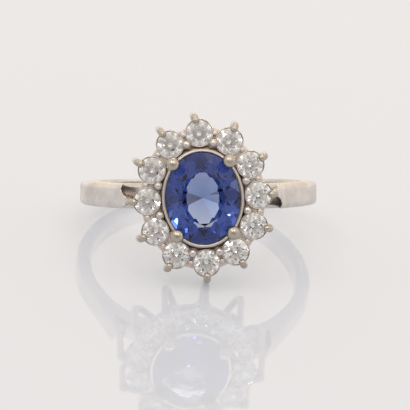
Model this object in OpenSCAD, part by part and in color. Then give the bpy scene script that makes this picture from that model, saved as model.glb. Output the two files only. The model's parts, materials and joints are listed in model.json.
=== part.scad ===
// Cluster ring: oval sapphire, twelve round diamonds, white gold mount, lying on its side

/* [Finger and shank] */
// inside diameter of the finger hole
finger_d = 17.6; // [15.5:0.1:20]
// thickness of the shank
shank_t = 1.2; // [1:0.05:1.5]
// width of the shank half way round
shank_w = 1.92; // [1.7:0.02:2.2]
// rounding of the shank's outer edges
edge_r = 0.36; // [0.2:0.02:0.45]

/* [Sapphire] */
// width across the finger
sapphire_w = 6.14; // [5.6:0.02:6.6]
// length along the finger
sapphire_l = 7.52; // [7:0.02:8]
// height of its girdle above the finger hole
sapphire_h = 4.3; // [4.2:0.05:4.8]

/* [Diamonds] */
// girdle diameter of each of the twelve
diamond_d = 2.12; // [1.9:0.02:2.3]
// height of their girdles above the finger hole
diamond_h = 3.75; // [3.6:0.05:4]
// outward lean of each diamond in degrees
diamond_lean = 5; // [0:1:10]

/* [Claws] */
// wire of the outer claws
wire_d = 0.58; // [0.54:0.02:0.8]
// tip of the four claws on the sapphire
claw_d = 1.2; // [1:0.02:1.3]
// shared beads between the diamonds
bead_d = 0.7; // [0.5:0.02:0.8]
// turn of the whole cluster on the shank in degrees
head_twist = 3.24; // [0:0.01:5]

/* [Hidden] */
$fn = 48;
gap = 0.035;
hole_r = finger_d / 2;
shank_r = hole_r + shank_t;
half_w = shank_w / 2;
taper = 0.6;
sapphire_n = hole_r + sapphire_h;
diamond_n = hole_r + diamond_h;

sa = sapphire_w / 2;
sb = sapphire_l / 2;
dr = diamond_d / 2;
wire_r = wire_d / 2;
claw_r = claw_d / 2;
bead_r = bead_d / 2;
// the diamonds' centres lie on an oval round the sapphire
oval_a = sa + 0.47 + dr;
oval_b = sb + 0.55 + dr;
step_angle = [90, 57.87, 28.09, 0, -28.09, -57.87, -90, -122.13, -151.91, 180, 151.91, 122.13];
// knee of the outer claws, just outside the finger hole
knee_n = hole_r + 0.62;
knee_r = 0.75;
flare = 3;
// sideways swing of each outer claw about its diamond, from 12 o'clock on
swing = [13, 4, -5, 0, 18, 0, 0, -7, -8, 0, 0, 4];
rail_n = diamond_n - 1.05;
base_n = hole_r + 0.95;
claw_out = dr + wire_r - 0.03;
knee_out = claw_out + (diamond_n + 0.05 - knee_n - knee_r * (1 + sin(flare))) * tan(flare);
knee_bend = knee_out - knee_r * cos(flare);

// the ring lies on the knee of the 6 o'clock claw and the back edge of the shank:
// a line touching the two rounded corners from below gives its tilt and height
rest_roll = 3.3;
front_y = -(knee_n + knee_r);
front_z = -(oval_b + knee_bend) * cos(head_twist);
front_r = knee_r + wire_r;
back_y = shank_r - edge_r;
back_z = -(half_w - shank_r * sin(taper) - edge_r);
rest_line = norm([back_y - front_y, back_z - front_z]);
rest_pitch = atan2(back_z - front_z, back_y - front_y) + asin((front_r - edge_r) / rest_line) - 0.235;
rest_lift = front_y * sin(rest_pitch) - front_z * cos(rest_pitch) + front_r - 0.03;
rest_shift = 2.426;

function spot_x(k) = oval_a * cos(step_angle[k % 12]);
function spot_y(k) = oval_b * sin(step_angle[k % 12]);
function spot_rho(k) = norm([spot_x(k), spot_y(k)]);
function spot_turn(k) = atan2(spot_y(k), spot_x(k));
function gallery_spot(k) =
    [(spot_rho(k) + 0.42) * cos(spot_turn(k)), (spot_rho(k) + 0.42) * sin(spot_turn(k)), diamond_n - 1.2];
function base_spot(k) = let(r = oval_reach(2.35, 3.1, spot_turn(k)))
    [r * cos(spot_turn(k)), r * sin(spot_turn(k)), base_n - 0.04];
// distance from the middle to an oval of half axes a and b, at an angle
function oval_reach(a, b, turn) = 1 / norm([cos(turn) / a, sin(turn) / b]);

// the ring turned from its own axes into the pose in which it lies
module lying() {
    translate([0, rest_shift, rest_lift])
        rotate([-rest_pitch, -rest_roll, 0])
            children();
}

// the cluster's own axes: z leads out of the finger hole, y along the finger
module cluster() {
    rotate([90, 0, 0])
        rotate([0, 0, head_twist])
            children();
}

module at_diamond(k) {
    rotate([0, 0, spot_turn(k)])
        translate([spot_rho(k), 0, diamond_n])
            rotate([0, diamond_lean, 0])
                children();
}

// eight facets, each through the point at radius r and height z with the given slope,
// cut off at the heights low and high; a negative slope opens upward
module facets(r, z, slope, low, high, turn) {
    rotate([0, 0, turn])
        translate([0, 0, low])
            cylinder(h = high - low, r1 = (r - (low - z) / slope) / cos(22.5),
                r2 = (r - (high - z) / slope) / cos(22.5), $fn = 8);
}

// round brilliant of radius 1, girdle in the plane z = 0
module brilliant() {
    intersection() {
        cylinder(h = 3, r = 1, center = true, $fn = 64);
        // eight kites up to the table, eight stars, sixteen upper girdle facets
        facets(1, 0.03, 0.72, -1.5, 0.33, 22.5);
        facets(0.535, 0.33, 0.46, -1.5, 0.4, 0);
        facets(0.995, 0.03, 0.82, -1.5, 0.6, 33.75);
        facets(0.995, 0.03, 0.82, -1.5, 0.6, 11.25);
        // eight pavilion mains, sixteen lower girdle facets
        facets(1, -0.03, -0.86, -0.88, 1, 22.5);
        facets(0.995, -0.03, -0.91, -0.93, 1, 33.75);
        facets(0.995, -0.03, -0.91, -0.93, 1, 11.25);
    }
}

// oval brilliant of the sapphire, girdle in the plane z = 0, with three tiers of facets below;
// the innermost tier is shallow, so that one looks through it, past the back of the shank
module oval_brilliant() {
    intersection() {
        scale([sa, sb, 1])
            intersection() {
                cylinder(h = 8, r = 1, center = true, $fn = 96);
                facets(1, 0.06, 1.98, -3.4, 0.85, 22.5);
                facets(0.555, 0.85, 1.28, -3.4, 1, 0);
                facets(0.995, 0.06, 2.3, -3.4, 1.2, 33.75);
                facets(0.995, 0.06, 2.3, -3.4, 1.2, 11.25);
                facets(0.5, -1.6, -2.9, -3, 2, 0);
                facets(0.5, -1.58, -2.9, -3, 2, 22.5);
                facets(0.995, -0.06, -3.3, -3.1, 2, 33.75);
                facets(0.995, -0.06, -3.3, -3.1, 2, 11.25);
            }
        scale([1.93, 2, 1])
            facets(0.02, -2.44, -1, -2.45, 2, 22.5);
    }
}

// seat cut for a diamond: the stone's outline with the gap all round
module seat_cut() {
    rotate_extrude()
        polygon([[0, -0.95 * dr - gap], [dr + gap, -0.05 - gap], [dr + gap, 0.05 + gap],
            [0.6 * dr + gap, 0.36 * dr + gap], [0, 0.36 * dr + gap]]);
}

// oval drawn as four arcs, for the rails: the profile lies to the right of the line
module oval_rail(a, b) {
    end_r = 1.08 * a * a / b;
    c = b - end_r;
    d = (c * c - (a - end_r) * (a - end_r)) / (2 * (a - end_r));
    t = atan2(c, d);
    for (side = [0, 180])
        rotate([0, 0, side]) {
            translate([-d, 0, 0])
                rotate([0, 0, -t])
                    rotate_extrude(angle = 2 * t)
                        translate([a + d, 0])
                            children();
            translate([0, c, 0])
                rotate([0, 0, t])
                    rotate_extrude(angle = 180 - 2 * t)
                        translate([end_r, 0])
                            children();
        }
}

// solder beads over the four places where the arcs of an oval meet
module oval_joints(a, b, r) {
    end_r = 1.08 * a * a / b;
    c = b - end_r;
    d = (c * c - (a - end_r) * (a - end_r)) / (2 * (a - end_r));
    t = atan2(c, d);
    for (sx = [-1, 1])
        for (sy = [-1, 1])
            translate([sx * end_r * cos(t), sy * (c + end_r * sin(t)), 0])
                sphere(r = r);
}

// round wire from one point to another
module wire(from, to, r) {
    v = to - from;
    translate(from)
        rotate([0, acos(v[2] / norm(v)), atan2(v[1], v[0])])
            cylinder(h = norm(v), r = r);
}

// half of the shank's outline, rounded outside and chamfered inside, open downward
module shank_side(top) {
    rotate_extrude($fn = 96) {
        polygon([[hole_r - 0.3, -4], [hole_r - 0.3, top - 0.48], [hole_r + 0.18, top],
            [shank_r - edge_r, top], [shank_r - edge_r, -4]]);
        translate([shank_r - edge_r - 0.01, -4])
            square([edge_r + 0.01, top + 4 - edge_r]);
        translate([shank_r - edge_r, top - edge_r])
            circle(r = edge_r);
    }
}

// shank: full circle, a little wider toward the cluster
module shank() {
    intersection() {
        rotate([-taper, 0, 0])
            shank_side(half_w);
        rotate([180 + taper, 0, 0])
            shank_side(half_w);
    }
}

// one straight upper arm on the right, from the shank to the side claw
module arm(claw_h) {
    end_x = oval_a + 1.95;
    end_y = hole_r + 0.5;
    start = atan2(end_y, end_x) - acos(shank_r / norm([end_x, end_y]));
    len = sqrt(end_x * end_x + end_y * end_y - shank_r * shank_r) + 0.48;
    w = shank_w * 1.07;
    difference() {
        rotate([0, 0, -start])
            translate([shank_r, 0, 0])
                rotate([90, 0, 0])
                    difference() {
                        linear_extrude(height = len)
                            union() {
                                translate([-1.1, -w / 2])
                                    square([1.1 - edge_r, w]);
                                translate([-edge_r - 0.05, -w / 2 + edge_r])
                                    square([edge_r + 0.05, w - 2 * edge_r]);
                                translate([-edge_r, w / 2 - edge_r])
                                    circle(r = edge_r);
                                translate([-edge_r, -w / 2 + edge_r])
                                    circle(r = edge_r);
                            }
                        // thinner toward the cluster
                        translate([-1.75, 0, 2.6])
                            rotate([0, 7, 0])
                                translate([0, 0, 4])
                                    cube([1.1, 4, 9], center = true);
                    }
        // concave corners down to the side claw
        for (s = [-1, 1])
            translate([oval_a + 1.4, 3.2 - hole_r, claw_h + s * (wire_r + 0.66)])
                rotate([90, 0, 0])
                    cylinder(h = 8, r = 0.66);
    }
}

// outer claw of diamond k: tip on the stone, shaft, knee and foot
module outer_claw(k) {
    side = (k % 6 == 3);
    rho = claw_out;
    top_n = diamond_n + 0.05;
    low_n = side ? hole_r - 0.2 : knee_n + knee_r * (1 + sin(flare));
    out = rho + (top_n - low_n) * tan(flare);
    turn = spot_turn(k) + swing[k % 12];
    bend = knee_bend;
    translate([spot_x(k), spot_y(k), 0])
        rotate([0, 0, turn]) {
            translate([rho - 0.24, 0, diamond_n + 0.27])
                sphere(r = wire_r * 1.08);
            translate([rho - 0.02, 0, diamond_n + 0.06])
                sphere(r = wire_r * 1.02);
            wire([out, 0, low_n], [rho, 0, top_n], wire_r);
            if (!side) {
                translate([bend, 0, knee_n + knee_r])
                    rotate([90, 0, 0])
                        rotate([0, 0, -90])
                            rotate_extrude(angle = 90 + flare)
                                translate([knee_r, 0])
                                    circle(r = wire_r);
                translate([out, 0, low_n])
                    sphere(r = wire_r * 1.04);
                translate([bend, 0, knee_n])
                    sphere(r = wire_r * 1.04);
            }
        }
    if (!side)
        wire([spot_x(k) + bend * cos(turn), spot_y(k) + bend * sin(turn), knee_n], base_spot(k), wire_r);
}

// cup below a diamond, drilled through
module cup() {
    difference() {
        translate([0, 0, -1.2])
            cylinder(h = 1.12, r1 = dr - 0.16, r2 = dr + 0.11);
        translate([0, 0, -1.5])
            cylinder(h = 2, r = dr * 0.5);
    }
}

// bead on a post at a junction on the sapphire's side
module bead(x, y) {
    translate([x, y, rail_n - 0.15])
        cylinder(h = 1.3, r = bead_r * 0.92);
    translate([x, y, diamond_n + 0.28])
        sphere(r = bead_r);
}

// one of the four claws of the sapphire, sx and sy choose the corner
module sapphire_claw(sx, sy) {
    t = 46.5;
    reach = 1 + 0.4 / sa;
    top = [sx * sa * reach * cos(t), sy * sb * (1 + 0.4 / sb) * sin(t), sapphire_n + 0.3];
    foot = [sx * 1.62, sy * 2.2, base_n];
    tip = [sx * (sa + 0.3) * cos(t), sy * (sb + 0.3) * sin(t), sapphire_n + 0.6];
    wire(foot, top, 0.4);
    translate(top)
        sphere(r = 0.43);
    translate(tip)
        sphere(r = claw_r);
}

module head() {
    difference() {
        union() {
            for (k = [0:11]) {
                outer_claw(k);
                at_diamond(k)
                    cup();
            }
            for (sx = [-1, 1])
                for (sy = [-1, 1]) {
                    bead(sx * 1.1, sy * (sb + 0.7));
                    bead(sx * (sa + 0.53), sy * 1.22);
                    sapphire_claw(sx, sy);
                }
            // thin rim round the sapphire and the ledge below it
            translate([0, 0, sapphire_n - 0.62])
                oval_rail(sa + 0.06, sb + 0.06)
                    square([0.24, 0.58]);
            translate([0, 0, sapphire_n - 0.95])
                oval_rail(sa - 0.33, sb - 0.33)
                    square([0.57, 0.42]);
            // inner gallery rail under the diamonds
            translate([0, 0, rail_n])
                oval_rail(sa + 0.5, sb + 0.52)
                    square([0.42, 0.42]);
            translate([0, 0, rail_n + 0.21])
                oval_joints(sa + 0.71, sb + 0.73, 0.33);
            // outer gallery wire from cup to cup
            for (k = [0:11]) {
                wire(gallery_spot(k), gallery_spot(k + 1), 0.2);
                translate(gallery_spot(k))
                    sphere(r = 0.23);
            }
            // base rail
            translate([0, 0, base_n - 0.32])
                oval_rail(2.0, 2.75)
                    square([0.7, 0.62]);
        }
        for (k = [0:11])
            at_diamond(k)
                seat_cut();
        // notch in each claw, so that the sapphire's girdle and crown edge stay clear of it
        translate([0, 0, sapphire_n - 0.34])
            oval_clear(sa + gap + 0.01, sb + gap + 0.01, 0.49);
    }
}

// oval plate bounded by four arcs
module oval_clear(a, b, h) {
    end_r = 1.08 * a * a / b;
    c = b - end_r;
    d = (c * c - (a - end_r) * (a - end_r)) / (2 * (a - end_r));
    t = atan2(c, d);
    top = c + end_r * sin(t);
    linear_extrude(height = h) {
        intersection() {
            translate([-d, 0])
                circle(r = a + d, $fn = 96);
            translate([d, 0])
                circle(r = a + d, $fn = 96);
            square([4 * a, 2 * top], center = true);
        }
        for (s = [-1, 1])
            translate([0, s * c])
                circle(r = end_r, $fn = 96);
    }
}

// saddle of the shank below the cluster, pointed at both ends
module saddle() {
    intersection() {
        rotate([0, 0, 240])
            rotate_extrude(angle = 60, $fn = 96)
                translate([hole_r - 0.2, -2.5])
                    square([0.95, 5]);
        cluster()
            translate([0, 0, hole_r - 4])
                lens(2.3, 5, 6);
    }
}

// window of the same shape through saddle and shank, open from the finger to the sapphire
module window() {
    cluster()
        translate([0, 0, hole_r - 5])
            lens(1.8, 2.9, 8);
}

// column between two equal cylinders, w is its half width and l its half length
module lens(w, l, h) {
    r = (l * l + w * w) / (2 * w);
    intersection() {
        translate([0, r - w, 0])
            cylinder(h = h, r = r, $fn = 96);
        translate([0, w - r, 0])
            cylinder(h = h, r = r, $fn = 96);
    }
}

module ring_mount() {
    color("gainsboro")
        lying()
            difference() {
                union() {
                    difference() {
                        union() {
                            shank();
                            saddle();
                        }
                        window();
                    }
                    arm(sin(head_twist) * (oval_a + 1.5));
                    mirror([1, 0, 0])
                        arm(-sin(head_twist) * (oval_a + 1.5));
                    cluster()
                        head();
                }
                cylinder(h = 30, r = hole_r, center = true, $fn = 96);
            }
}

module sapphire() {
    color("royalblue")
        lying()
            cluster()
                translate([0, 0, sapphire_n])
                    oval_brilliant();
}

module diamond(k) {
    color("aliceblue")
        lying()
            cluster()
                at_diamond(k)
                    scale(dr)
                        brilliant();
}

module diamond_01() {
    diamond(1);
}

module diamond_02() {
    diamond(2);
}

module diamond_03() {
    diamond(3);
}

module diamond_04() {
    diamond(4);
}

module diamond_05() {
    diamond(5);
}

module diamond_06() {
    diamond(6);
}

module diamond_07() {
    diamond(7);
}

module diamond_08() {
    diamond(8);
}

module diamond_09() {
    diamond(9);
}

module diamond_10() {
    diamond(10);
}

module diamond_11() {
    diamond(11);
}

module diamond_12() {
    diamond(12);
}

ring_mount();
sapphire();
diamond_01();
diamond_02();
diamond_03();
diamond_04();
diamond_05();
diamond_06();
diamond_07();
diamond_08();
diamond_09();
diamond_10();
diamond_11();
diamond_12();
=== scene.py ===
# Sapphire and diamond cluster ring, lying on a glossy pale sheet
import math
import json
import bpy
from mathutils import Matrix, Vector


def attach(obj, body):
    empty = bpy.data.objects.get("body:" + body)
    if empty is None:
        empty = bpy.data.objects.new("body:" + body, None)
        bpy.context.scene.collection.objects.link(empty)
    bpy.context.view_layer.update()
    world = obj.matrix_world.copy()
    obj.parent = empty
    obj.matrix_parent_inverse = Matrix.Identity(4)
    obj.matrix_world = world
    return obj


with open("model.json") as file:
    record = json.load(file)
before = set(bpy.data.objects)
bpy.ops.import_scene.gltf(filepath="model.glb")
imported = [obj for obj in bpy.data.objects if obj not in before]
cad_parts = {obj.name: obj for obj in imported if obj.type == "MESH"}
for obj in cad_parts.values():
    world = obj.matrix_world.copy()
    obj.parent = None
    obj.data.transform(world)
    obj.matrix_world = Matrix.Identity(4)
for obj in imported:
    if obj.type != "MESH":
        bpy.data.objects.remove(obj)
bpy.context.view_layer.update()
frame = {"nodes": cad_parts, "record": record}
print("frame loaded:", len(frame["nodes"]), "nodes")


def toLinear(hexColour):
    # sRGB hex to the linear values that Blender's sockets take
    hexColour = hexColour.lstrip("#")
    parts = [int(hexColour[i:i + 2], 16) / 255 for i in (0, 2, 4)]
    linear = [c / 12.92 if c <= 0.04045 else ((c + 0.055) / 1.055) ** 2.4 for c in parts]
    return (linear[0], linear[1], linear[2], 1.0)


def addNode(tree, kind, settings=None, inputs=None):
    # one node: settings are attributes, inputs are values or (node, output) links
    node = tree.nodes.new(kind)
    for key, value in (settings or {}).items():
        setattr(node, key, value)
    for key, value in (inputs or {}).items():
        if isinstance(value, tuple) and hasattr(value[0], "outputs"):
            tree.links.new(value[0].outputs[value[1]], node.inputs[key])
        else:
            node.inputs[key].default_value = value
    return node


def newMaterial(name):
    material = bpy.data.materials.new(name)
    material.use_nodes = True
    tree = material.node_tree
    tree.nodes.clear()
    out = tree.nodes.new("ShaderNodeOutputMaterial")
    return material, tree, out


# camera: fitted to the ring's stones and shank in the photo
camera = {
    "place": (-0.020889, -0.396592, 0.144186),
    "turn": (70.451, -3.8312, -1.73),
    "lens": 439.02,
}

cameraData = bpy.data.cameras.new("productCamera")
cameraData.sensor_width = 36
cameraData.lens = camera["lens"]
cameraData.clip_start = 0.01
cameraData.clip_end = 10
cameraObject = bpy.data.objects.new("productCamera", cameraData)
bpy.context.scene.collection.objects.link(cameraObject)
cameraObject.location = camera["place"]
cameraObject.rotation_euler = [math.radians(a) for a in camera["turn"]]
bpy.context.scene.camera = cameraObject
print("camera placed")

# how the ring lies, in degrees, and the cluster's turn on its shank
pose = {
    "roll": 3.3,
    "pitch": 17.340,
    "clusterTurn": 3.24,
}

ringMiddle = tuple(frame["record"]["mounts"][0]["pos_m"])    # middle of the finger hole
# the cluster's own axes, in metres: x across the finger, y along it, z out of the finger hole
clusterFrame = (Matrix.Translation(ringMiddle)
                @ Matrix.Rotation(math.radians(-pose["roll"]), 4, "Y")
                @ Matrix.Rotation(math.radians(90 - pose["pitch"]), 4, "X")
                @ Matrix.Rotation(math.radians(pose["clusterTurn"]), 4, "Z"))

# the twelve diamonds: their centres lie on an oval, numbered like a clock face
diamonds = {
    "oval": (0.00460, 0.00537),    # half axes
    "angles": (90, 57.87, 28.09, 0, -28.09, -57.87, -90, -122.13, -151.91, 180, 151.91, 122.13),
    "radius": 0.00106,
    "lean": 5,                     # degrees, outwards
    "girdle": 0.01255,             # height of the girdles from the middle of the finger hole
}

# white gold under rhodium plate: a pale mirror, dulled to a satin by wear;
# on the claws the plate is worn off and the grey-brown alloy shows, and the recesses get painted shade, a
# dark brown that is less metallic
whiteGold = {
    "plate": "#dcd6d1",
    "dulled": "#cdc6c0",
    "alloy": "#bab1a4",
    # painted shade: the dark brown that the recesses are tinted towards
    "paintedShade": "#7c6a5b",
    "brushed": "#e0d6ce",            # the metal between the stones was never polished
    "polished": 0.20,                # roughness where the plate is still bright
    "satin": 0.38,                   # where wear has dulled it
    "unpolished": 0.48,              # between the stones
    "patch": 0.0022,                 # metres, size of the dulled patches
    "patchRange": (0.38, 0.66),      # of the noise, from bright to dulled
    "hairline": 0.00012,             # metres between hairline scratches, coarser than real so that they show
    "hairlineStretch": 0.12,
    "hairlineDepth": 0.00002,
    "hairlineStrength": 0.10,
    "edge": 0.00048,                 # metres, softness of the shank's worn edges
    "fineEdge": 0.00004,
    "recess": 0.00048,               # metres, reach of the painted shade
    "sheltered": (0.50, 0.18),       # share of open sky where the painted shade begins, and where it is full
    "paintedShadeMetallic": 0.15,           # the painted shade is made less metallic, so it stays dark
}

# where one finish begins and where it is full: heights in metres from the middle of the finger hole,
# and shares of the oval on which the diamonds stand
finishEdges = {
    "sapphireClaws": (0.01312, 0.01342),
    "outerClaws": (0.0118, 0.0124),
    "outerShare": (1.13, 1.18),
    "brushedFoot": (0.0118, 0.0120),
    "brushedTop": (0.0132, 0.0130),
    "brushedShare": (1.15, 1.11),
    "shankShare": (1.30, 1.55),
}

smooth = {"interpolation_type": "SMOOTHSTEP"}
goldMaterial, tree, out = newMaterial("rhodiumPlatedWhiteGold")
coords = addNode(tree, "ShaderNodeTexCoord")
fromMiddle = addNode(tree, "ShaderNodeVectorMath", {"operation": "SUBTRACT"}, {
    0: (coords, "Object"), 1: ringMiddle})
inCluster = [addNode(tree, "ShaderNodeVectorMath", {"operation": "DOT_PRODUCT"}, {
    0: (fromMiddle, 0), 1: clusterFrame.to_3x3().col[i]}) for i in range(3)]
height = inCluster[2]
shareX, shareY = [addNode(tree, "ShaderNodeMath", {"operation": "DIVIDE"}, {
    0: (inCluster[i], "Value"), 1: diamonds["oval"][i]}) for i in range(2)]
flatPlace = addNode(tree, "ShaderNodeCombineXYZ", inputs={"X": (shareX, 0), "Y": (shareY, 0)})
ovalShare = addNode(tree, "ShaderNodeVectorMath", {"operation": "LENGTH"}, {0: (flatPlace, 0)})

# bare alloy on the tips of the sapphire's claws and on the outer claws
inTips = addNode(tree, "ShaderNodeMapRange", smooth, {
    "Value": (height, "Value"),
    "From Min": finishEdges["sapphireClaws"][0], "From Max": finishEdges["sapphireClaws"][1]})
inHead = addNode(tree, "ShaderNodeMapRange", smooth, {
    "Value": (height, "Value"),
    "From Min": finishEdges["outerClaws"][0], "From Max": finishEdges["outerClaws"][1]})
inOuter = addNode(tree, "ShaderNodeMapRange", smooth, {
    "Value": (ovalShare, "Value"),
    "From Min": finishEdges["outerShare"][0], "From Max": finishEdges["outerShare"][1]})
outerTips = addNode(tree, "ShaderNodeMath", {"operation": "MULTIPLY"}, {0: (inHead, 0), 1: (inOuter, 0)})
wornOff = addNode(tree, "ShaderNodeMath", {"operation": "MAXIMUM"}, {0: (inTips, 0), 1: (outerTips, 0)})

# brushed metal between the stones
aboveCups = addNode(tree, "ShaderNodeMapRange", smooth, {
    "Value": (height, "Value"),
    "From Min": finishEdges["brushedFoot"][0], "From Max": finishEdges["brushedFoot"][1]})
belowTips = addNode(tree, "ShaderNodeMapRange", smooth, {
    "Value": (height, "Value"),
    "From Min": finishEdges["brushedTop"][0], "From Max": finishEdges["brushedTop"][1]})
betweenStones = addNode(tree, "ShaderNodeMath", {"operation": "MULTIPLY"}, {
    0: (aboveCups, 0), 1: (belowTips, 0)})
withinOval = addNode(tree, "ShaderNodeMapRange", smooth, {
    "Value": (ovalShare, "Value"),
    "From Min": finishEdges["brushedShare"][0], "From Max": finishEdges["brushedShare"][1]})
leftRough = addNode(tree, "ShaderNodeMath", {"operation": "MULTIPLY"}, {
    0: (betweenStones, 0), 1: (withinOval, 0)})

patches = addNode(tree, "ShaderNodeTexNoise", inputs={
    "Vector": (coords, "Object"), "Scale": 1 / whiteGold["patch"], "Detail": 4.0, "Roughness": 0.6})
dulling = addNode(tree, "ShaderNodeMapRange", inputs={
    "Value": (patches, 0), "From Min": whiteGold["patchRange"][0], "From Max": whiteGold["patchRange"][1]})
plate = addNode(tree, "ShaderNodeMixRGB", inputs={
    "Fac": (dulling, "Result"),
    "Color1": toLinear(whiteGold["plate"]), "Color2": toLinear(whiteGold["dulled"])})
bare = addNode(tree, "ShaderNodeMixRGB", inputs={
    "Fac": (wornOff, 0), "Color1": (plate, "Color"), "Color2": toLinear(whiteGold["alloy"])})
pale = addNode(tree, "ShaderNodeMixRGB", inputs={
    "Fac": (leftRough, 0), "Color1": (bare, "Color"), "Color2": toLinear(whiteGold["brushed"])})
# painted shade: where little open sky reaches, the colour is mixed towards dark brown and made less metallic
shelter = addNode(tree, "ShaderNodeAmbientOcclusion", {"samples": 6}, {"Distance": whiteGold["recess"]})
paintedShadeMask = addNode(tree, "ShaderNodeMapRange", smooth, {
    "Value": (shelter, "AO"),
    "From Min": whiteGold["sheltered"][0], "From Max": whiteGold["sheltered"][1]})
colour = addNode(tree, "ShaderNodeMixRGB", inputs={
    "Fac": (paintedShadeMask, "Result"), "Color1": (pale, "Color"), "Color2": toLinear(whiteGold["paintedShade"])})
metallic = addNode(tree, "ShaderNodeMapRange", inputs={
    "Value": (paintedShadeMask, "Result"), "To Min": 1.0, "To Max": whiteGold["paintedShadeMetallic"]})
gloss = addNode(tree, "ShaderNodeMapRange", inputs={
    "Value": (patches, 0), "From Min": whiteGold["patchRange"][0], "From Max": whiteGold["patchRange"][1],
    "To Min": whiteGold["polished"], "To Max": whiteGold["satin"]})
finish = addNode(tree, "ShaderNodeMapRange", inputs={
    "Value": (leftRough, 0), "To Min": (gloss, "Result"), "To Max": whiteGold["unpolished"]})

# scratches lie mostly round the finger, so the noise is stretched that way
stretch = addNode(tree, "ShaderNodeMapping", inputs={
    "Vector": (coords, "Object"),
    "Scale": (whiteGold["hairlineStretch"], whiteGold["hairlineStretch"], 1.0)})
hairlines = addNode(tree, "ShaderNodeTexNoise", inputs={
    "Vector": (stretch, "Vector"), "Scale": 1 / whiteGold["hairline"], "Detail": 2.0})
# the shank's edges are worn round, those of the cluster are still crisp
onShank = addNode(tree, "ShaderNodeMapRange", inputs={
    "Value": (ovalShare, "Value"),
    "From Min": finishEdges["shankShare"][0], "From Max": finishEdges["shankShare"][1],
    "To Min": whiteGold["fineEdge"], "To Max": whiteGold["edge"]})
wornEdge = addNode(tree, "ShaderNodeBevel", {"samples": 8}, {"Radius": (onShank, "Result")})
relief = addNode(tree, "ShaderNodeBump", inputs={
    "Height": (hairlines, 0), "Normal": (wornEdge, 0),
    "Strength": whiteGold["hairlineStrength"], "Distance": whiteGold["hairlineDepth"]})
gold = addNode(tree, "ShaderNodeBsdfPrincipled", inputs={
    "Base Color": (colour, "Color"),
    "Metallic": (metallic, "Result"),
    "Roughness": (finish, "Result"),
    "Normal": (relief, "Normal"),
})
tree.links.new(gold.outputs[0], out.inputs["Surface"])

# faceted sapphire: its colour grows with the length of the light's way through it
blueSapphire = {
    "ior": 1.77,
    "absorb": (0.03, 0.22, 0.66),
    "density": 430.0,
    "shine": (0.5, 0.5, 0.56),    # a worn, slightly dull polish gives back less of the room
}

sapphireMaterial, tree, out = newMaterial("facetedBlueSapphire")
stone = addNode(tree, "ShaderNodeBsdfPrincipled", inputs={
    "Base Color": (1, 1, 1, 1),
    "Roughness": 0.0,
    "IOR": blueSapphire["ior"],
    "Specular Tint": blueSapphire["shine"] + (1,),
    "Transmission Weight": 1.0,
})
body = addNode(tree, "ShaderNodeVolumeAbsorption", inputs={
    "Color": blueSapphire["absorb"] + (1,),
    "Density": blueSapphire["density"],
})
tree.links.new(stone.outputs[0], out.inputs["Surface"])
tree.links.new(body.outputs[0], out.inputs["Volume"])

# brilliant-cut diamond: colourless, with a strong refraction that throws the light back in spots
clearDiamond = {
    "ior": 2.42,
}

diamondMaterial, tree, out = newMaterial("brilliantCutDiamond")
stone = addNode(tree, "ShaderNodeBsdfPrincipled", inputs={
    "Base Color": (1, 1, 1, 1),
    "Roughness": 0.0,
    "IOR": clearDiamond["ior"],
    "Transmission Weight": 1.0,
})
tree.links.new(stone.outputs[0], out.inputs["Surface"])

for name, node in frame["nodes"].items():
    material = goldMaterial
    if name == "sapphire":
        material = sapphireMaterial
    elif name.startswith("diamond"):
        material = diamondMaterial
    for slot in node.material_slots:
        slot.material = material
print("materials on the metal and the stones")


# how finely the new pieces are divided, and the angles that count as an edge
fineness = {
    "oval": 144,
    "stone": 64,
    "wire": 12,
    "grain": (20, 12),
    "bevelSteps": 2,
    "bevelFrom": math.radians(50),
    "smoothUpTo": math.radians(35),
    "merge": 0.000001,
}


def deselect():
    if bpy.context.mode != "OBJECT":
        bpy.ops.object.mode_set(mode="OBJECT")
    bpy.ops.object.select_all(action="DESELECT")


def makeActive(piece):
    deselect()
    bpy.context.view_layer.objects.active = piece
    piece.select_set(True)


def applyModifier(piece, kind, **settings):
    makeActive(piece)
    modifier = piece.modifiers.new(kind.title(), kind)
    for key, value in settings.items():
        setattr(modifier, key, value)
    bpy.ops.object.modifier_apply(modifier=modifier.name)


def roundEdges(piece, width):
    applyModifier(piece, "BEVEL", width=width, segments=fineness["bevelSteps"], limit_method="ANGLE",
                  angle_limit=fineness["bevelFrom"])


def joinInto(piece, others):
    makeActive(piece)
    for other in others:
        other.select_set(True)
    bpy.ops.object.join()
    return bpy.context.active_object


def extrudeAll(offset):
    # in edit mode: the whole outline is drawn out into walls
    bpy.ops.mesh.select_all(action="SELECT")
    bpy.ops.mesh.extrude_region_move(TRANSFORM_OT_translate={"value": offset})


def closeEdit():
    bpy.ops.mesh.select_all(action="SELECT")
    bpy.ops.mesh.normals_make_consistent(inside=False)
    bpy.ops.object.mode_set(mode="OBJECT")


def finishGold(piece):
    # a finished piece of white gold that is soldered to the mount
    piece.data.materials.clear()
    piece.data.materials.append(goldMaterial)
    makeActive(piece)
    bpy.ops.object.shade_smooth_by_angle(angle=fineness["smoothUpTo"])
    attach(piece, "root")


def stonePlace(k):
    # from a diamond's own axes to the cluster's
    a = math.radians(diamonds["angles"][k % 12])
    x = diamonds["oval"][0] * math.cos(a)
    y = diamonds["oval"][1] * math.sin(a)
    return (Matrix.Rotation(math.atan2(y, x), 4, "Z")
            @ Matrix.Translation((math.hypot(x, y), 0, diamonds["girdle"]))
            @ Matrix.Rotation(math.radians(diamonds["lean"]), 4, "Y"))


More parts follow.
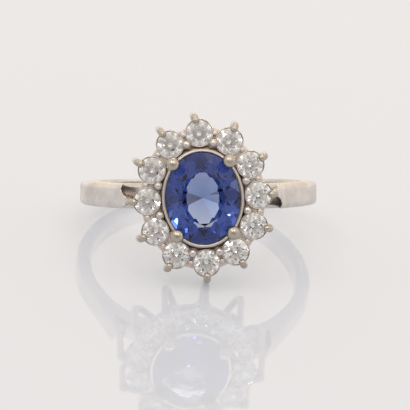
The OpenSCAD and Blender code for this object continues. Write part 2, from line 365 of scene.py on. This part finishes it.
# web of the gallery: the metal between the diamonds, cut out round each stone
galleryWeb = {
    "clearance": 0.000045,
    "cutDepth": 0.003,
    "outside": 0.00052,      # how far it reaches beyond the stones' centres
    "width": 0.00155,
    "below": 0.00012,        # how far its top lies below the girdles
    "thick": 0.00036,
    "round": 0.00005,
    "grain": 0.00023,        # radius of a grain of solder in each notch between two stones
    "grainOut": 0.00030,
    "grainShape": (1, 1, 0.75),
    "bridges": ((0.00098, 0.00424), (0.00348, 0.00112)),    # beside the shared beads, across the slot
    "bridge": 0.00019,
    "bridgeLow": 0.00002,
    "bridgeShape": (1.25, 1.25, 0.6),
}


def solderGrain(place, radius, shape):
    deselect()
    bpy.ops.mesh.primitive_uv_sphere_add(segments=fineness["grain"][0], ring_count=fineness["grain"][1],
                                         radius=radius, location=place)
    grain = bpy.context.active_object
    grain.scale = shape
    bpy.ops.object.transform_apply(location=True, rotation=True, scale=True)
    return grain


webTop = diamonds["girdle"] - galleryWeb["below"]
deselect()
bpy.ops.mesh.primitive_circle_add(vertices=fineness["oval"], radius=1, fill_type="NGON",
                                  location=(0, 0, webTop))
web = bpy.context.active_object
web.name = "galleryWeb"
web.scale = [half + galleryWeb["outside"] for half in diamonds["oval"]] + [1]
bpy.ops.object.transform_apply(location=True, rotation=True, scale=True)
bpy.ops.object.mode_set(mode="EDIT")
bpy.ops.mesh.select_all(action="SELECT")
bpy.ops.mesh.inset(thickness=galleryWeb["width"], depth=0)
bpy.ops.mesh.delete(type="FACE")
extrudeAll((0, 0, -galleryWeb["thick"]))
closeEdit()

cutters = []
for k in range(12):
    deselect()
    bpy.ops.mesh.primitive_cylinder_add(vertices=fineness["stone"], depth=galleryWeb["cutDepth"],
                                        radius=diamonds["radius"] + galleryWeb["clearance"])
    cutter = bpy.context.active_object
    cutter.data.transform(stonePlace(k))
    cutters.append(cutter)
stoneCutter = joinInto(cutters[0], cutters[1:])
applyModifier(web, "BOOLEAN", operation="DIFFERENCE", solver="EXACT", use_self=True, object=stoneCutter)
bpy.data.objects.remove(stoneCutter)
roundEdges(web, galleryWeb["round"])

# a grain of solder on the web in each notch between two stones, on the outer side
grains = []
for k in range(12):
    middle = (stonePlace(k).translation + stonePlace(k + 1).translation) / 2
    outwards = Vector((middle.x, middle.y, 0)).normalized() * galleryWeb["grainOut"]
    place = middle + outwards - Vector((0, 0, galleryWeb["below"]))
    grains.append(solderGrain(place, galleryWeb["grain"], galleryWeb["grainShape"]))

# low bridges of solder from the web to the bezel
for x, y in galleryWeb["bridges"]:
    for sideX in (-1, 1):
        for sideY in (-1, 1):
            place = (x * sideX, y * sideY, webTop - galleryWeb["bridgeLow"])
            grains.append(solderGrain(place, galleryWeb["bridge"], galleryWeb["bridgeShape"]))
web = joinInto(web, grains)
web.data.transform(clusterFrame)
finishGold(web)
print("gallery web modelled:", len(web.data.polygons), "faces")

# collar of each diamond: the thin bright lip of its cup, turned up round the girdle
collar = {
    "outer": 0.001175,
    "inner": 0.001074,
    "top": 0.00003,
    "tall": 0.00022,
    "round": 0.00003,
}

inwards = collar["inner"] / collar["outer"]
deselect()
bpy.ops.mesh.primitive_circle_add(vertices=fineness["stone"], radius=collar["outer"],
                                  location=(0, 0, collar["top"]))
firstCollar = bpy.context.active_object
bpy.ops.object.transform_apply(location=True, rotation=True, scale=True)
bpy.ops.object.mode_set(mode="EDIT")
bpy.ops.mesh.select_all(action="SELECT")
bpy.ops.mesh.extrude_edges_move()
bpy.ops.transform.resize(value=(inwards, inwards, 1))
extrudeAll((0, 0, -collar["tall"]))
closeEdit()
roundEdges(firstCollar, collar["round"])
collars = []
for k in range(12):
    lip = firstCollar.copy()
    lip.data = firstCollar.data.copy()
    bpy.context.scene.collection.objects.link(lip)
    lip.data.transform(clusterFrame @ stonePlace(k))
    collars.append(lip)
bpy.data.objects.remove(firstCollar)
stoneCollars = joinInto(collars[0], collars[1:])
stoneCollars.name = "stoneCollars"
finishGold(stoneCollars)
print("collars modelled:", len(stoneCollars.data.polygons), "faces")

# rubbed-over edge of the sapphire's bezel, and the gallery floor that closes the slot below it
bezel = {
    "stone": (0.00307, 0.00376),    # half width and half length of the sapphire
    "out": 0.00016,
    "edge": 0.00009,
    "height": 0.01302,
    "floorTop": (0.00026, 0.01242),    # how far outside the stone, and how high
    "floorFoot": (0.00060, 0.01220),
    "floorThick": 0.00010,
}
startRadius = 0.001    # both pieces start round, and are drawn out to the oval


def toOval(piece, distance):
    # the round piece becomes the oval that lies outside the stone by the distance
    makeActive(piece)
    piece.scale = [(half + distance) / startRadius for half in bezel["stone"]] + [1]
    bpy.ops.object.transform_apply(location=True, rotation=True, scale=True)


deselect()
bpy.ops.mesh.primitive_circle_add(vertices=fineness["wire"], radius=bezel["edge"],
                                  location=(startRadius, 0, bezel["height"]),
                                  rotation=(math.radians(90), 0, 0))
rubbedEdge = bpy.context.active_object
rubbedEdge.name = "bezelEdge"
# flattened now by as much as the oval widens it
rubbedEdge.scale = (startRadius / (sum(bezel["stone"]) / 2 + bezel["out"]), 1, 1)
bpy.ops.object.transform_apply(location=True, rotation=True, scale=True)
bpy.ops.object.mode_set(mode="EDIT")
bpy.ops.mesh.select_all(action="SELECT")
bpy.ops.mesh.spin(steps=fineness["oval"], angle=math.radians(360), center=(0, 0, 0), axis=(0, 0, 1))
bpy.ops.mesh.select_all(action="SELECT")
bpy.ops.mesh.remove_doubles(threshold=fineness["merge"])
closeEdit()
toOval(rubbedEdge, bezel["out"])

deselect()
bpy.ops.mesh.primitive_circle_add(vertices=fineness["oval"], radius=startRadius,
                                  location=(0, 0, bezel["floorTop"][1]))
galleryFloor = bpy.context.active_object
galleryFloor.name = "galleryFloor"
toOval(galleryFloor, bezel["floorTop"][0])
wider = [(half + bezel["floorFoot"][0]) / (half + bezel["floorTop"][0]) for half in bezel["stone"]]
bpy.ops.object.mode_set(mode="EDIT")
extrudeAll((0, 0, bezel["floorFoot"][1] - bezel["floorTop"][1]))
bpy.ops.transform.resize(value=(wider[0], wider[1], 1))
closeEdit()
applyModifier(galleryFloor, "SOLIDIFY", thickness=bezel["floorThick"], offset=0)

for piece in (rubbedEdge, galleryFloor):
    piece.data.transform(clusterFrame)
    finishGold(piece)
print("bezel edge and gallery floor modelled")

# stage: a backlit white acrylic sheet in a pale room, so nothing throws a hard shadow
stage = {
    "sheet": "#a6a6aa",
    "sheetSize": 3.0,
    "sheetGlow": 0.26,
    "glowTint": (0.94, 1.0, 1.10),
    "sheetRoughness": 0.02,
    "sheetIor": 1.49,
    "farWall": (1.10, 0.995, 0.845),
    "farFrom": (0.2, 0.75),         # how far back in the room its colour begins and is full
    "overhead": (1.15, 1.06, 0.93),
    "overheadFrom": (0.45, 0.8),
    "sideWall": (0.74, 0.71, 0.70),
    "nearWall": (0.46, 0.425, 0.40),
    "nearFrom": (-0.6, -0.92),
    "lensShade": (0.05, 0.05, 0.055),
    "lensAngle": (12, 7),
}

deselect()
bpy.ops.mesh.primitive_plane_add(size=stage["sheetSize"], location=(0, 0, 0))
sheet = bpy.context.active_object
sheet.name = "acrylicSheet"
sheetMaterial, tree, out = newMaterial("backlitWhiteAcrylic")
acrylic = addNode(tree, "ShaderNodeBsdfPrincipled", inputs={
    "Base Color": toLinear(stage["sheet"]),
    "Roughness": stage["sheetRoughness"],
    "IOR": stage["sheetIor"],
    "Emission Color": stage["glowTint"] + (1,),
    "Emission Strength": stage["sheetGlow"],
})
tree.links.new(acrylic.outputs[0], out.inputs["Surface"])
sheet.data.materials.append(sheetMaterial)

world = bpy.data.worlds.new("paleRoom")
bpy.context.scene.world = world
world.use_nodes = True
tree = world.node_tree
background = tree.nodes["Background"]
toSky = addNode(tree, "ShaderNodeTexCoord")
split = addNode(tree, "ShaderNodeSeparateXYZ", inputs={"Vector": (toSky, "Generated")})
farness = addNode(tree, "ShaderNodeMapRange", smooth, {
    "Value": (split, "Y"), "From Min": stage["farFrom"][0], "From Max": stage["farFrom"][1]})
closeness = addNode(tree, "ShaderNodeMapRange", smooth, {
    "Value": (split, "Y"), "From Min": stage["nearFrom"][0], "From Max": stage["nearFrom"][1]})
rise = addNode(tree, "ShaderNodeMapRange", smooth, {
    "Value": (split, "Z"), "From Min": stage["overheadFrom"][0], "From Max": stage["overheadFrom"][1]})
walls = addNode(tree, "ShaderNodeMixRGB", inputs={
    "Fac": (farness, "Result"), "Color1": stage["sideWall"] + (1,), "Color2": stage["farWall"] + (1,)})
around = addNode(tree, "ShaderNodeMixRGB", inputs={
    "Fac": (closeness, "Result"), "Color1": (walls, "Color"), "Color2": stage["nearWall"] + (1,)})
room = addNode(tree, "ShaderNodeMixRGB", inputs={
    "Fac": (rise, "Result"), "Color1": (around, "Color"), "Color2": stage["overhead"] + (1,)})
# a dark lens and its hood stand on the near side, and the stones show them
toLens = Vector(camera["place"]).normalized()
facing = addNode(tree, "ShaderNodeVectorMath", {"operation": "DOT_PRODUCT"}, {
    0: (toSky, "Generated"), 1: toLens})
shadeEdge = [math.cos(math.radians(a)) for a in stage["lensAngle"]]
shade = addNode(tree, "ShaderNodeMapRange", smooth, {
    "Value": (facing, "Value"), "From Min": shadeEdge[0], "From Max": shadeEdge[1]})
whole = addNode(tree, "ShaderNodeMixRGB", inputs={
    "Fac": (shade, "Result"), "Color1": (room, "Color"), "Color2": stage["lensShade"] + (1,)})
tree.links.new(whole.outputs["Color"], background.inputs["Color"])
background.inputs["Strength"].default_value = 1.0
bpy.context.scene.view_settings.view_transform = "Standard"

lightDistance = 0.45    # metres from the ring
# each light: size in metres, azimuth and elevation in degrees, power in watts
lights = {
    "keyBox": ((0.10, 0.08), 215, 55, 0.12),
    "fillBox": ((0.16, 0.16), 300, 66, 0.06),
    "leftBox": ((0.05, 0.10), 190, 28, 0.05),
    "rightBox": ((0.09, 0.14), 352, 26, 0.06),
    "sparkLeft": ((0.035, 0.035), 246, 44, 0.09),    # small and near the lens: they wake the diamonds
    "sparkRight": ((0.035, 0.035), 297, 40, 0.09),
    "sparkTop": ((0.035, 0.035), 272, 58, 0.09),
    "backBox": ((0.12, 0.05), 80, 50, 0.12),
}


def softLight(name, size, place, power):
    # a rectangular light aimed at the ring
    lightData = bpy.data.lights.new(name, "AREA")
    lightData.shape = "RECTANGLE"
    lightData.size = size[0]
    lightData.size_y = size[1]
    lightData.energy = power
    light = bpy.data.objects.new(name, lightData)
    bpy.context.scene.collection.objects.link(light)
    light.location = place
    light.rotation_euler = (-Vector(place)).to_track_quat("-Z", "Y").to_euler()


for name, (size, azimuth, elevation, power) in lights.items():
    across = math.radians(azimuth)
    up = math.radians(elevation)
    flat = lightDistance * math.cos(up)
    place = (flat * math.cos(across), flat * math.sin(across), lightDistance * math.sin(up))
    softLight(name, size, place, power)
print("stage and lights placed")
